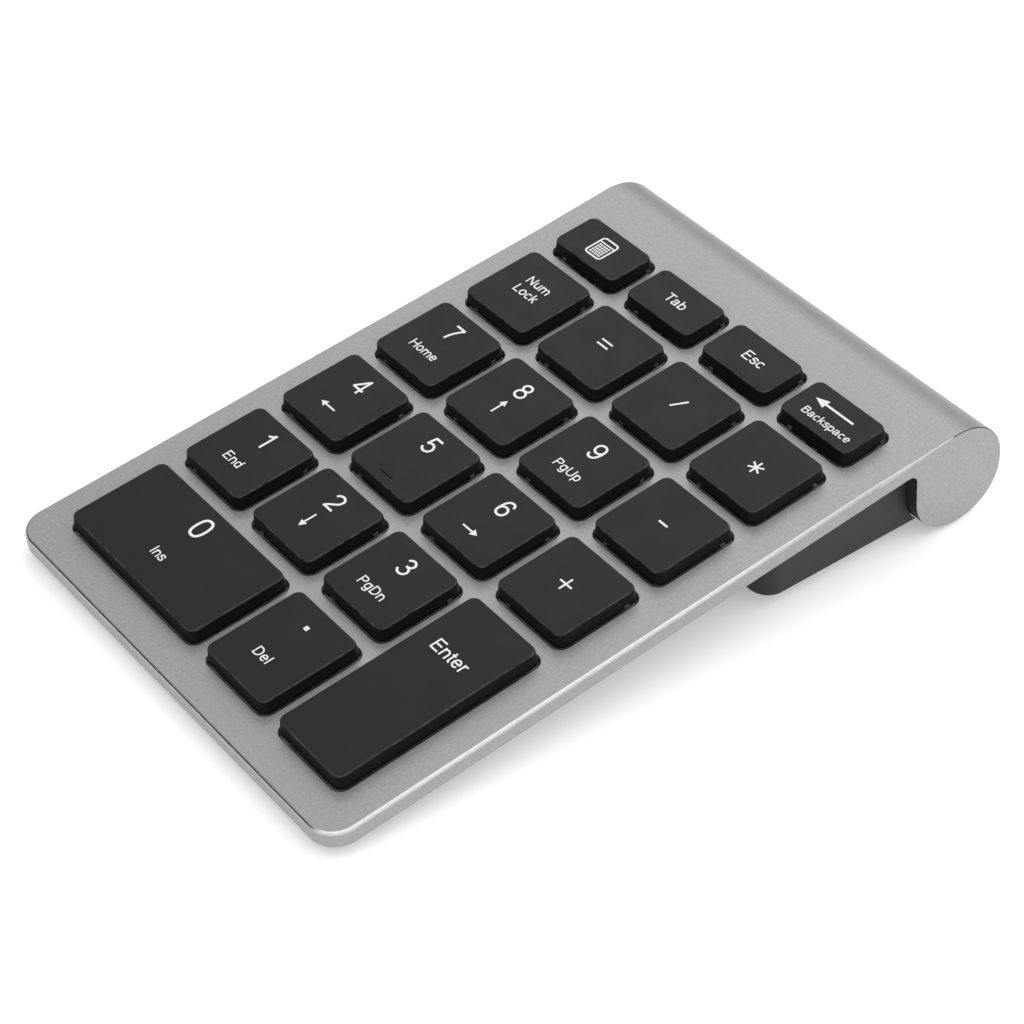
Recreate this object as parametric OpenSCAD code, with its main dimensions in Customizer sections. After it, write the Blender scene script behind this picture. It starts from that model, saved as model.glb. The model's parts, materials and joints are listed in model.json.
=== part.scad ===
// Wireless numeric keypad: a thin silver panel with twenty-two low keys on scissor
// links, a comma shaped battery tube along its rear edge and a dark bottom case
// with a shallow electronics box in front of the tube.
// The panel frame has x to the right, y to the rear and z out of the keys, with
// z = 0 on the panel's top face. Every piece is drawn in the panel frame, then the
// whole keypad is tipped up at the rear to stand on the desk plane z = 0.

/* [Keys] */
// distance between the centres of neighbouring full size keys
key_pitch = 19; // [18.9:0.1:19.3]
// width and depth of the panel opening round a full size key
opening = 16.6; // [16.4:0.1:16.7]
// depth of the panel openings of the short rear row
short_opening = 11; // [10.8:0.1:11.2]
// depth of the panel openings of the deeper front row
front_opening = 19; // [18.6:0.1:19.2]
// distance from the last full size row to the short row
short_row_step = 16.2; // [16.1:0.1:16.6]
// gap between a key cap and the edge of its opening
cap_gap = 0.5; // [0.35:0.05:0.6]
// height of the key caps' top faces above the panel
cap_rise = 2.5; // [2.4:0.1:2.8]
// plan corner radius of a key cap
cap_corner = 1.5; // [1:0.1:2]
// plan corner radius of an opening
opening_corner = 2; // [1.5:0.1:2.4]

/* [Panel] */
// distance from the outer openings to the side faces
side_margin = 6.2; // [6.2:0.1:7]
// distance from the front openings to the front face
front_margin = 6.4; // [6.2:0.1:7.4]
// plan radius of the two front corners
front_corner = 4.8; // [4:0.1:6]
// thickness of the panel round the keys
panel_t = 1.2; // [1:0.05:1.25]
// height of the rim that runs down from the panel's edge
rim_h = 3; // [2.9:0.1:3.4]
// thickness of the rim
rim_t = 1.3; // [1.1:0.1:1.4]
// width of the chamfer along the panel's upper edge
edge_chamfer = 0.45; // [0.3:0.05:0.6]
// how far the panel is tipped up at the rear, in degrees
tilt = 7; // [6.5:0.1:7.4]

/* [Tube] */
// height of the battery tube from the panel's top face to its underside
tube_h = 19.5; // [19.4:0.1:20.4]
// depth of the battery tube from its front wall to its rear
tube_d = 18.6; // [18.5:0.1:19.4]
// gap between the tube's underside and the desk
tube_clear = 0.6; // [0.4:0.1:1]

/* [Electronics box] */
// where the box starts, measured from the middle of the key grid
box_front = 19.2; // [18:0.2:20]
// depth of the box under the panel's top face, at the middle of its front
box_drop = 12.2; // [12:0.1:12.8]
// slope of the box's underside against the panel, in degrees
box_slope = 6.5; // [6:0.1:7]
// how far the box's sides are set in from the panel's sides
box_inset = 2.3; // [2.1:0.1:2.6]
// wall thickness of the box
box_wall = 1.4; // [1.2:0.1:1.5]

/* [Hidden] */
$fn = 64;

over = 1; // how far most cutters reach past the faces they cut

// colours shared by several pieces
silver = [0.66, 0.66, 0.68];
cap_black = [0.09, 0.09, 0.1];
contact_metal = [0.8, 0.78, 0.6];

// ---------- layout ----------

// centres of the rows, front to rear, and of the columns, left to right
row_y = [for (step = [-2.5, -1.5, -0.5, 0.5, 1.5]) step * key_pitch];
short_row = row_y[4] + short_row_step;
col_x = [for (step = [-1.5, -0.5, 0.5, 1.5]) step * key_pitch];

// the front row's openings reach further forward than the grid
front_extra = front_opening - opening;
front_row = row_y[0] - front_extra / 2;

// outline of the panel and the tube
half_w = col_x[3] + opening / 2 + side_margin;
front_y = row_y[0] - opening / 2 - front_extra - front_margin;
wall_y = short_row + short_opening / 2 - 0.8; // front wall of the tube
rear_y = wall_y + tube_d;

// the three arcs of the tube's profile, as [y, z, radius]
arc_rear = [rear_y - 10.5, -10.5, 10.5];
arc_low = [rear_y - 8, -(tube_h - 8), 8];
arc_front = [wall_y + 10, -(tube_h - 10), 10];

// the keypad stands on its feet, with its footprint centred on the origin
tube_low = arc_front[0] * sin(tilt) + arc_front[1] * cos(tilt) - arc_front[2];
lift = tube_clear - tube_low;
world_front = front_y * cos(tilt) + edge_chamfer * sin(tilt);
world_rear = arc_low[0] * cos(tilt) - arc_low[1] * sin(tilt) + arc_low[2];
back_shift = -(world_front + world_rear) / 2;

// heights of the layers in the panel frame
cap_foot = -0.1;
cap_ceiling = cap_rise - 1; // inner face of a cap's top
membrane_top = -2;
membrane_t = 0.25;
plate_top = membrane_top - membrane_t;
plate_t = 0.4;
cover_top = -2.75;
cover_t = 0.85;
cover_low = cover_top - cover_t;
board_top = -7;
board_t = 1;
board_low = board_top - board_t;

// key table: [x, y, extra width, extra depth, depth of the opening]
function full_key(column, row) = [col_x[column], row_y[row], 0, 0, opening];
function short_key(column) = [col_x[column], short_row, 0, 0, short_opening];
key_0 = [-key_pitch, front_row, key_pitch, 0, front_opening];
key_decimal = [col_x[2], front_row, 0, 0, front_opening];
key_enter = [col_x[3], -2 * key_pitch - front_extra / 2, 0, key_pitch, front_opening];
key_1 = full_key(0, 1);
key_2 = full_key(1, 1);
key_3 = full_key(2, 1);
key_4 = full_key(0, 2);
key_5 = full_key(1, 2);
key_6 = full_key(2, 2);
key_plus = full_key(3, 2);
key_7 = full_key(0, 3);
key_8 = full_key(1, 3);
key_9 = full_key(2, 3);
key_minus = full_key(3, 3);
key_num_lock = full_key(0, 4);
key_equals = full_key(1, 4);
key_divide = full_key(2, 4);
key_multiply = full_key(3, 4);
key_calculator = short_key(0);
key_tab = short_key(1);
key_escape = short_key(2);
key_backspace = short_key(3);
KEYS = [
    key_0, key_decimal, key_enter, key_1, key_2, key_3, key_4, key_5, key_6, key_plus,
    key_7, key_8, key_9, key_minus, key_num_lock, key_equals, key_divide, key_multiply,
    key_calculator, key_tab, key_escape, key_backspace
];

// distance of the scissor pivots from the key's centre
function reach(key) = key[4] < 14 ? 3.15 : 4.6;
function is_long(key) = key[2] + key[3] > 0;
// the mechanism of a key that is long in y is turned with it
function turn(key) = key[3] > 0 ? 90 : 0;

// ---------- helpers ----------

module tilted() translate([0, back_shift, lift]) rotate([tilt, 0, 0]) children();

// the 2D shape lies in y and z and is drawn out along x
module along_x(x0, x1)
    translate([x0, 0, 0]) rotate([90, 0, 90]) linear_extrude(x1 - x0) children();

module bar_x(x0, x1, y, z, r) translate([x0, y, z]) rotate([0, 90, 0]) cylinder(h = x1 - x0, r = r);

// box between two opposite corners
module block(low, high) translate(low) cube(high - low);

module at_spots(spots, z) for (spot = spots) translate([spot[0], spot[1], z]) children();

module at_key(key) translate([key[0], key[1], 0]) rotate([0, 0, turn(key)]) children();

// places a +y side part at -x and x on both sides of a key's centre
module four_places(x)
    for (side = [-x, x]) for (angle = [0, 180])
        rotate([0, 0, angle]) translate([side, 0, 0]) children();

// rectangle with four round corners, symmetric in x
module round_rect(half, y0, y1, r) {
    translate([-half + r, y0]) square([2 * (half - r), y1 - y0]);
    translate([-half, y0 + r]) square([2 * half, y1 - y0 - 2 * r]);
    for (x = [-half + r, half - r]) for (y = [y0 + r, y1 - r]) translate([x, y]) circle(r = r);
}

// the same with round corners at the front only
module front_round(half, y0, y1, r) {
    translate([-half + r, y0]) square([2 * (half - r), y1 - y0]);
    translate([-half, y0 + r]) square([2 * half, y1 - y0 - r]);
    for (x = [-half + r, half - r]) translate([x, y0 + r]) circle(r = r);
}

// outline of an opening or a cap
module key_shape(key, inset, r) {
    half_depth = (key[4] + key[3]) / 2 - inset;
    translate([key[0], key[1]])
        round_rect((opening + key[2]) / 2 - inset, -half_depth, half_depth, r);
}

// ---------- top case ----------

screw_x = half_w - 3.8;
screw_spots = [for (side = [-1, 1]) for (y = [front_y + 5.6, -24, 12]) [side * screw_x, y]];
// stakes that hold the backplate
stake_spots = [for (x = [-1, 0, 1]) for (y = [-2, 0, 2]) [x * key_pitch, y * key_pitch]];
boss_r = 1.9;
stake_r = 0.7;
fillet_r = 1.8;

// where the panel's chamfer starts to narrow, and over what length it runs out
fade_y = arc_rear[0] - 16;
fade_l = 15.6;

// battery bore, open at the left
bore_y = wall_y + 9.4;
bore_z = -(tube_h - 9.1);
bore_r = 7.6;
bore_end = 16.5;
core_start = 18.5; // the hollow right of the bulkhead
groove_r = 8.25;   // bayonet groove
entry_half = 2.3;  // half width of the groove's entries
entry_angle = 60;

module bore_bar(x0, x1, r) bar_x(x0, x1, bore_y, bore_z, r);

module panel_outline(inset, back_y)
    front_round(half_w - inset, front_y + inset, back_y, front_corner - inset);

// what lies outside an arc in one quadrant; shift moves the square from the arc's centre
module outside_arc(arc, shift, growth) difference() {
    translate([arc[0] + shift[0], arc[1] + shift[1]]) square([30, 30]);
    translate([arc[0], arc[1]]) circle(r = arc[2] + growth, $fn = 120);
}

module tube_profile(growth) difference() {
    translate([wall_y - growth, -tube_h - growth]) square([tube_d + 2 * growth, tube_h + growth]);
    outside_arc(arc_rear, [0, 0], growth);
    outside_arc(arc_low, [0, -30], growth);
    outside_arc(arc_front, [-30, -30], growth);
}

// fillet between the rim's underside and the tube
module rim_fillet(x0) along_x(x0, x0 + rim_t) difference() {
    translate([wall_y - fillet_r, -rim_h - fillet_r]) square(fillet_r + 0.5);
    translate([wall_y - fillet_r, -rim_h - fillet_r]) circle(r = fillet_r);
}

module case_solid() {
    translate([0, 0, -rim_h]) linear_extrude(rim_h) panel_outline(0, wall_y + 4);
    along_x(-half_w, half_w) tube_profile(0);
    for (x0 = [-half_w, half_w - rim_t]) rim_fillet(x0);
}

// the chamfer along one side and round one front corner, drawn on the right
module side_edge_cut() {
    // straight side
    translate([0, front_y + front_corner, 0]) rotate([90, 0, 180])
        linear_extrude(fade_y - front_y - front_corner) polygon([
            [-half_w - over, -edge_chamfer - over],
            [-half_w - over, over],
            [-half_w + edge_chamfer + over, over]
        ]);
    // front corner
    translate([half_w - front_corner, front_y + front_corner, 0]) difference() {
        translate([0, -front_corner - over, -edge_chamfer])
            cube([front_corner + over, front_corner + over, edge_chamfer + over]);
        translate([0, 0, -edge_chamfer])
            cylinder(h = edge_chamfer, r1 = front_corner, r2 = front_corner - edge_chamfer);
        cylinder(h = 2, r = front_corner - edge_chamfer);
    }
    // run-out towards the top of the tube
    intersection() {
        block([half_w - 2, fade_y, -2], [half_w + over, fade_y + fade_l, over]);
        translate([half_w - edge_chamfer, fade_y, 0]) rotate([0, -45, 0])
            rotate([0, 0, -atan(edge_chamfer / fade_l / sqrt(2))])
                translate([0, -50, -50]) cube([5, 100, 100]);
    }
}

module edge_cuts() {
    along_x(-half_w + front_corner, half_w - front_corner) polygon([
        [front_y - over, -edge_chamfer - over],
        [front_y + edge_chamfer + over, over],
        [front_y - over, over]
    ]);
    for (flip = [0, 1]) mirror([flip, 0, 0]) side_edge_cut();
}

module case_shell() difference() {
    case_solid();
    edge_cuts();
    // pocket under the panel
    translate([0, 0, -rim_h - over]) linear_extrude(rim_h + over - panel_t)
        panel_outline(rim_t, wall_y);
    // shallow recess into the tube for the backplate's rear edge
    block([-half_w + 4.6, wall_y - over, cover_top], [half_w - 4.6, wall_y + 2.2, -panel_t]);
    for (key = KEYS)
        translate([0, 0, -panel_t - over]) linear_extrude(panel_t + 2 * over)
            key_shape(key, 0, opening_corner);
}

module tube_cuts() {
    bore_bar(-half_w - over, bore_end, bore_r);
    // cored out right end, open to the front
    bore_bar(core_start, half_w - 2, bore_r);
    block([core_start + 1, wall_y - over, bore_z - 3.5], [half_w - 5.5, bore_y - 4, bore_z + 4]);
    // bayonet groove and its two entries
    bore_bar(-half_w + 1.8, -half_w + 3.6, groove_r);
    translate([-half_w - over, bore_y, bore_z]) intersection() {
        rotate([0, 90, 0]) cylinder(h = 3, r = groove_r);
        rotate([entry_angle, 0, 0]) block([0, -entry_half, -9], [3, entry_half, 9]);
    }
    // windows for the contact leads
    for (ends = [[bore_end - 0.9, bore_end], [-half_w + 3.5, -half_w + 4.4]])
        block([ends[0], wall_y - over, bore_z - 1.3], [ends[1], wall_y + 4, bore_z + 1.5]);
}

module top_case() color(silver) tilted() difference() {
    union() {
        case_shell();
        at_spots(screw_spots, cover_top + 0.02) cylinder(h = -panel_t - cover_top, r = boss_r);
        at_spots(stake_spots, cover_top + 0.03) cylinder(h = -panel_t - cover_top, r = stake_r);
    }
    at_spots(screw_spots, cover_top - over) cylinder(h = 2.85, r = 0.8);
    tube_cuts();
}

// ---------- bottom case, feet and screws ----------

box_half = half_w - box_inset;
box_corner = 3.5;
cover_gap = 0.2; // between the cover and the rim
tube_gap = 0.15; // between the bottom case and the tube

board_pegs = [[-31.5, 27], [29, 27], [-31.5, 43.2], [29, 43.2]];
post_sink = 0.9; // start of the board posts above the box's underside

screw_recess = 0.45; // depth of the recess round a screw head
head_t = 0.4;

foot_r = 4;
front_feet = [[-33, front_y + 10.6], [33, front_y + 10.6]];
rear_feet = [[-31, 41], [31, 41]];
// how deep the feet sit in the cover and in the box
front_sink = 0.3;
rear_sink = 0.45;
foot_h = 8; // before the feet are cut off at the desk

// power switch: its knob stands at the front end of its slots
switch_y = 34.9;
switch_z = -5.6;
switch_travel = 2.4;
stem_half_d = 1.1;
stem_half_h = 0.55;

// height of the box's underside
function box_z(y) = -box_drop - (y - box_front) * tan(box_slope);

// slot round the switch's stem, with room for its travel
module switch_slot(x0, x1, gap_y, gap_z) block(
    [x0, switch_y - stem_half_d - gap_y, switch_z - stem_half_h - gap_z],
    [x1, switch_y + stem_half_d + gap_y + switch_travel, switch_z + stem_half_h + gap_z]
);

module box_outline(inset, back_y)
    front_round(box_half - inset, box_front + inset, back_y, box_corner - inset);

module box_solid(inset, back_y, top) intersection() {
    along_x(-box_half + inset, box_half - inset) polygon([
        [box_front + inset, top],
        [box_front + inset, box_z(box_front + inset) + inset],
        [back_y, box_z(back_y) + inset],
        [back_y, top]
    ]);
    translate([0, 0, -30]) linear_extrude(40) box_outline(inset, back_y);
}

module board_post(spot) {
    post_z = box_z(spot[1]) + post_sink;
    translate([spot[0], spot[1], post_z]) cylinder(h = board_low - post_z, r = 2.2);
    translate([spot[0], spot[1], board_low - 0.5]) cylinder(h = board_t + 0.8, r = 1);
}

module bottom_case() color([0.2, 0.2, 0.21]) tilted() difference() {
    union() {
        translate([0, 0, cover_low]) linear_extrude(cover_t)
            panel_outline(rim_t + cover_gap, wall_y - cover_gap);
        difference() {
            box_solid(0, wall_y + 5, cover_low + 0.4);
            box_solid(box_wall, wall_y + 6, 0);
        }
        for (spot = board_pegs) board_post(spot);
    }
    // the box is open to the keys and to the tube
    translate([0, 0, cover_low - 0.1]) linear_extrude(2) box_outline(box_wall, wall_y + 6);
    along_x(-half_w - over, half_w + over) tube_profile(tube_gap);
    // screw holes with recesses for the heads
    at_spots(screw_spots, cover_low - over) {
        cylinder(h = 3, r = 0.9);
        cylinder(h = over + screw_recess, r = 1.9);
    }
    // recesses for the feet
    at_spots(front_feet, cover_low - 5) cylinder(h = 5 + front_sink, r = foot_r + 0.05);
    for (foot = rear_feet) translate([foot[0], foot[1], box_z(foot[1]) - 5])
        cylinder(h = 5 + rear_sink, r = foot_r + 0.05);
    switch_slot(-box_half - over, -box_half + box_wall + over, 0.3, 0.15);
}

// the feet's undersides are cut level with the desk
module rubber_feet() color([0.08, 0.08, 0.08]) intersection() {
    tilted() {
        at_spots(front_feet, cover_low + front_sink - foot_h) cylinder(h = foot_h, r = foot_r);
        for (foot = rear_feet) translate([foot[0], foot[1], box_z(foot[1]) + rear_sink - foot_h])
            cylinder(h = foot_h, r = foot_r);
    }
    translate([-100, -150, 0]) cube([200, 300, 60]);
}

// screws with cross slots
module case_screws() color([0.55, 0.55, 0.57]) tilted() at_spots(screw_spots, cover_low)
    difference() {
        union() {
            translate([0, 0, screw_recess - head_t]) cylinder(h = head_t, r = 1.7);
            translate([0, 0, screw_recess]) cylinder(h = 2, r = 0.77);
        }
        for (angle = [0, 90]) rotate([0, 0, angle])
            translate([-1, -0.2, -0.5]) cube([2, 0.4, 0.8]);
    }

// ---------- key mechanism ----------

// scissor links
link_low = -1.6;                // lower pivots
link_high = cap_ceiling - 0.65; // upper pivots
link_mid = (link_low + link_high) / 2;
link_r = 0.35;
outer_half = 5.9; // half widths of the two frames
inner_half = 4.7;
arm_w = 0.8;
arm_t = 0.68;

// stabilizer wire of a long key, placed from the key's centre
wire_r = 0.4;
wire_y = 5.9;
wire_z = -1.55;
wire_arm = 8;
wire_half = 12;
wire_bend = 0.6;
wire_slot_r = wire_r + 0.06;
wire_clip = wire_half + 1.3; // x of the cap's clips
wire_rise = 2.1;             // rise of the arm's end at rest
wire_angle = asin(wire_rise / wire_arm);
tip_y = wire_y - wire_arm * cos(wire_angle);
tip_z = wire_z + wire_rise;

// backplate catches for the links, and eyes for the wire
catch_x = 1.2;
catch_top = -0.93;
eye_x = 9;

plate_half = col_x[3] + 8.5;
membrane_half = plate_half - 0.1;

// membrane's tail: it drops beside the board and runs into the socket
tail_x = -half_w + 4.15;
tail_end = -33;
tail_front = 24.5;
tail_back = 30.5;
tail_z = board_top + 0.75;

skirt_t = 1; // wall of a cap
clip_half = 0.5;
dome_r = 2.7;
dome_top = cap_ceiling - 0.4;

module backplate() color([0.6, 0.61, 0.62]) tilted() {
    difference() {
        translate([0, 0, plate_top - plate_t]) linear_extrude(plate_t)
            round_rect(plate_half, row_y[0] - 11.4, wall_y + 1.9, 1);
        at_spots(stake_spots, plate_top - over) cylinder(h = 2, r = stake_r + 0.08);
    }
    for (key = KEYS) at_key(key) {
        back = reach(key) + 0.72;
        // hooked catches: an upright and a lip over the link's bar
        four_places(catch_x) {
            block([-clip_half, reach(key) + 0.42, plate_top - 0.1], [clip_half, back, catch_top]);
            block([-clip_half, reach(key) - 0.25, -1.2], [clip_half, back, catch_top]);
        }
        if (is_long(key)) for (x = [-eye_x, eye_x]) translate([x, 0, 0]) difference() {
            block([-0.5, wire_y - 0.8, plate_top - 0.1], [0.5, wire_y + 0.8, -0.85]);
            bar_x(-over, over, wire_y, wire_z, wire_slot_r);
        }
    }
}

module membrane() color([0.75, 0.77, 0.72]) tilted() {
    difference() {
        translate([0, 0, plate_top]) linear_extrude(membrane_t)
            round_rect(membrane_half, row_y[0] - 11.2, wall_y + 1.8, 1);
        at_spots(stake_spots, plate_top - over) cylinder(h = 2, r = stake_r + 0.2);
        // windows round the backplate's catches and eyes
        for (key = KEYS) at_key(key) {
            four_places(catch_x)
                block([-0.7, reach(key) + 0.25, plate_top - over], [0.7, reach(key) + 0.9, 0]);
            if (is_long(key)) for (x = [-eye_x, eye_x])
                block([x - 0.7, wire_y - 1, plate_top - over], [x + 0.7, wire_y + 1, 0]);
        }
    }
    block([tail_x, tail_front, plate_top], [-membrane_half + 0.1, tail_back, membrane_top]);
    block([tail_x, tail_front, tail_z], [tail_x + membrane_t, tail_back, membrane_top]);
    block([tail_x, tail_front, tail_z], [tail_end, tail_back, tail_z + membrane_t]);
}

// dome profile as [radius, z]
dome_profile = [
    [1.9, membrane_top], [dome_r, membrane_top], [dome_r, membrane_top + 0.3],
    [2.3, membrane_top + 0.4], [1.5, dome_top - 0.5], [1.5, dome_top],
    [0, dome_top], [0, dome_top - 0.8], [1.05, dome_top - 0.8]
];
module rubber_domes() color([0.85, 0.85, 0.82]) tilted()
    at_spots(KEYS, 0) rotate_extrude() polygon(dome_profile);

// one plastic link frame: two bars and two arms.
// The low bar is at -y when way is 1 and at +y when it is -1.
module link_frame(reach, half, way) {
    rise = link_high - link_low;
    arm_l = sqrt(4 * reach * reach + pow(rise, 2));
    bar_x(-half, half, -way * reach, link_low, link_r);
    bar_x(-half, half, way * reach, link_high, link_r);
    for (x = [-half, half - arm_w])
        translate([x, 0, link_mid]) rotate([way * atan2(rise, 2 * reach), 0, 0])
            translate([0, -arm_l / 2, -arm_t / 2]) cube([arm_w, arm_l, arm_t]);
}

module scissor(key) color([0.42, 0.43, 0.45]) tilted() at_key(key) {
    // outer frame with its pivot holes
    difference() {
        link_frame(reach(key), outer_half, -1);
        for (x = [-outer_half - 0.1, outer_half - arm_w - 0.1]) bar_x(x, x + 1, 0, link_mid, 0.3);
    }
    // inner frame with its two pivot pins
    link_frame(reach(key), inner_half, 1);
    for (x = [-inner_half - 1, inner_half - 0.1]) bar_x(x, x + 1.1, 0, link_mid, 0.22);
}

// slot along x, stretched in y from y0 to y1
module clip_slot(y0, y1, z, r) {
    for (y = [y0, y1]) bar_x(-over, over, y, z, r);
    block([-over, y0, z - r], [over, y1, z + r]);
}

module link_clip(reach) difference() {
    block([-clip_half, reach - 0.75, link_high - 0.58], [clip_half, reach + 0.9, cap_ceiling + 0.1]);
    clip_slot(reach, reach + 0.25, link_high, 0.42);
}

module wire_end_clip() difference() {
    block([-clip_half, tip_y - 1.05, tip_z - 0.58], [clip_half, tip_y + 0.75, cap_ceiling + 0.1]);
    clip_slot(tip_y - 0.3, tip_y + 0.03, tip_z, wire_slot_r);
}

module keycap(key) color(cap_black) tilted() {
    difference() {
        translate([0, 0, cap_foot]) linear_extrude(cap_rise - cap_foot)
            key_shape(key, cap_gap, cap_corner);
        translate([0, 0, cap_foot - over]) linear_extrude(cap_ceiling - cap_foot + over)
            key_shape(key, cap_gap + skirt_t, 0.6);
    }
    // plunger over the dome
    translate([key[0], key[1], dome_top + 0.02]) cylinder(h = 0.5, r = 1.5);
    at_key(key) four_places(3) link_clip(reach(key));
    if (is_long(key)) at_key(key)
        for (x = [-wire_clip, wire_clip]) translate([x, 0, 0]) wire_end_clip();
}

module elbow(x, y, angle)
    translate([x, y, 0]) rotate([0, 0, angle])
        rotate_extrude(angle = 90) translate([wire_bend, 0]) circle(r = wire_r);

// bent wire that keeps a long key level, drawn flat and then turned to its rest angle
module stabilizer(key) color([0.7, 0.7, 0.72]) tilted() at_key(key)
    translate([0, wire_y, wire_z]) rotate([-wire_angle, 0, 0]) {
        bar_x(-wire_half + wire_bend, wire_half - wire_bend, 0, 0, wire_r);
        for (flip = [0, 1]) mirror([flip, 0, 0]) {
            elbow(wire_half - wire_bend, -wire_bend, 0);
            translate([wire_half, -wire_bend, 0]) rotate([90, 0, 0])
                cylinder(h = wire_arm - 2 * wire_bend, r = wire_r);
            elbow(wire_half + wire_bend, -wire_arm + wire_bend, 180);
            bar_x(wire_half + wire_bend, wire_half + 2.2, -wire_arm, 0, wire_r);
        }
    }
module stabilizer_bar_0() stabilizer(key_0);
module stabilizer_bar_enter() stabilizer(key_enter);

// ---------- electronics ----------

// parts on the board: [left, front, right, rear, height]
board_parts = [
    [-6, 30, 3, 39, 1],     // controller
    [10, 29, 23, 41, 1.8],  // radio module
    [-15, 32, -11, 37, 1.4] // crystal
];
capacitor_x = [-20, -17.5, 5.5, 7.5];

module circuit_board() color([0.1, 0.35, 0.2]) tilted() {
    difference() {
        block([-36, 24, board_low], [33, 46, board_top]);
        at_spots(board_pegs, board_top - 2) cylinder(h = 3, r = 1.06);
    }
    for (part = board_parts)
        block([part[0], part[1], board_top], [part[2], part[3], board_top + part[4]]);
    for (x = capacitor_x) block([x, 41, board_top], [x + 1.2, 43.2, board_top + 0.9]);
    // socket for the membrane's tail
    difference() {
        block([-34.8, 23.9, board_top], [-31.4, 25.4, board_top + 1.8]);
        block([-40, tail_front - 0.1, tail_z - 0.05], [tail_end + 0.1, 40, tail_z + membrane_t + 0.05]);
    }
}

module power_switch_body() color([0.75, 0.75, 0.76]) tilted() difference() {
    block([-half_w + 4.5, switch_y - 2.3, board_top], [-35.2, switch_y + 4.7, switch_z + 1.6]);
    switch_slot(-half_w + 4, -half_w + 6, 0.25, 0.1);
}

module power_switch_knob() color([0.12, 0.12, 0.12]) tilted() {
    // stem
    block([-box_half - 0.3, switch_y - stem_half_d, switch_z - stem_half_h],
        [-half_w + 5.9, switch_y + stem_half_d, switch_z + stem_half_h]);
    // grip with three grooves
    difference() {
        block([-box_half - 1.1, switch_y - 1.6, switch_z - 1.2],
            [-box_half - 0.15, switch_y + 1.6, switch_z + 1.2]);
        for (y = [switch_y - 0.8, switch_y, switch_y + 0.8])
            block([-box_half - 2, y - 0.15, switch_z - 2], [-box_half - 0.9, y + 0.15, switch_z + 2]);
    }
}

battery_x = -half_w + 6.8;     // left end of the cell
battery_tip = battery_x + 50.3; // end of the plus pole
cap_t = 3.4;
lead_half = 0.9;

module battery() color([0.75, 0.6, 0.2]) tilted() {
    bore_bar(battery_x, battery_x + 49.2, 7.1);
    bore_bar(battery_x + 49, battery_tip, 2.7);
}

module battery_cap() color(silver) tilted() difference() {
    union() {
        bore_bar(-half_w, -half_w + cap_t, bore_r - 0.08);
        // bayonet lugs
        translate([-half_w + 2.1, bore_y, bore_z]) intersection() {
            rotate([0, 90, 0]) cylinder(h = 1.2, r = groove_r - 0.15);
            block([-1, -2, -9], [3, 2, 9]);
        }
    }
    // coin slot
    block([-half_w - over, bore_y - 0.9, bore_z - 5.5], [-half_w + 1.3, bore_y + 0.9, bore_z + 5.5]);
}

// outline of the bent leaf as [x from the cap's inner face, z from the bore's axis]
leaf_outline = [
    [0.2, -4], [3.35, -0.6], [3.35, 0.6], [0.2, 4],
    [0.2, 3.55], [3.05, 0.5], [3.05, -0.5], [0.2, -3.55]
];
module cap_contact_spring() color(contact_metal) tilted()
    translate([-half_w + cap_t, bore_y, bore_z]) {
        rotate([0, 90, 0]) cylinder(h = 0.3, r = 6);
        // leaf that presses on the cell
        translate([0, 1.5, 0]) rotate([90, 0, 0]) linear_extrude(3) polygon(leaf_outline);
    }

module contact_lead(x0, x1, back_y)
    block([x0, wall_y - 3, bore_z - lead_half], [x1, back_y, bore_z + lead_half]);

module battery_contacts() color(contact_metal) tilted() {
    // plus end: a plate by the bulkhead, raised in the middle, with its lead
    bore_bar(bore_end - 0.5, bore_end - 0.1, 5.5);
    bore_bar(battery_tip + 0.03, bore_end - 0.4, 2);
    contact_lead(bore_end - 0.5, bore_end - 0.1, bore_y - 4);
    // minus end: a finger at the cap's contact plate
    contact_lead(-half_w + 3.75, -half_w + 4.1, bore_y - 5);
}

// ---------- keys ----------

module keycap_0() keycap(key_0);
module keycap_decimal() keycap(key_decimal);
module keycap_enter() keycap(key_enter);
module keycap_1() keycap(key_1);
module keycap_2() keycap(key_2);
module keycap_3() keycap(key_3);
module keycap_4() keycap(key_4);
module keycap_5() {
    keycap(key_5);
    // homing bar
    color(cap_black) tilted() translate([key_5[0], key_5[1], cap_rise])
        block([-1.9, -5.3, -0.2], [1.9, -4.8, 0.3]);
}
module keycap_6() keycap(key_6);
module keycap_plus() keycap(key_plus);
module keycap_7() keycap(key_7);
module keycap_8() keycap(key_8);
module keycap_9() keycap(key_9);
module keycap_minus() keycap(key_minus);
module keycap_num_lock() keycap(key_num_lock);
module keycap_equals() keycap(key_equals);
module keycap_divide() keycap(key_divide);
module keycap_multiply() keycap(key_multiply);
module keycap_calculator() keycap(key_calculator);
module keycap_tab() keycap(key_tab);
module keycap_escape() keycap(key_escape);
module keycap_backspace() keycap(key_backspace);

module scissor_0() scissor(key_0);
module scissor_decimal() scissor(key_decimal);
module scissor_enter() scissor(key_enter);
module scissor_1() scissor(key_1);
module scissor_2() scissor(key_2);
module scissor_3() scissor(key_3);
module scissor_4() scissor(key_4);
module scissor_5() scissor(key_5);
module scissor_6() scissor(key_6);
module scissor_plus() scissor(key_plus);
module scissor_7() scissor(key_7);
module scissor_8() scissor(key_8);
module scissor_9() scissor(key_9);
module scissor_minus() scissor(key_minus);
module scissor_num_lock() scissor(key_num_lock);
module scissor_equals() scissor(key_equals);
module scissor_divide() scissor(key_divide);
module scissor_multiply() scissor(key_multiply);
module scissor_calculator() scissor(key_calculator);
module scissor_tab() scissor(key_tab);
module scissor_escape() scissor(key_escape);
module scissor_backspace() scissor(key_backspace);

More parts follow.
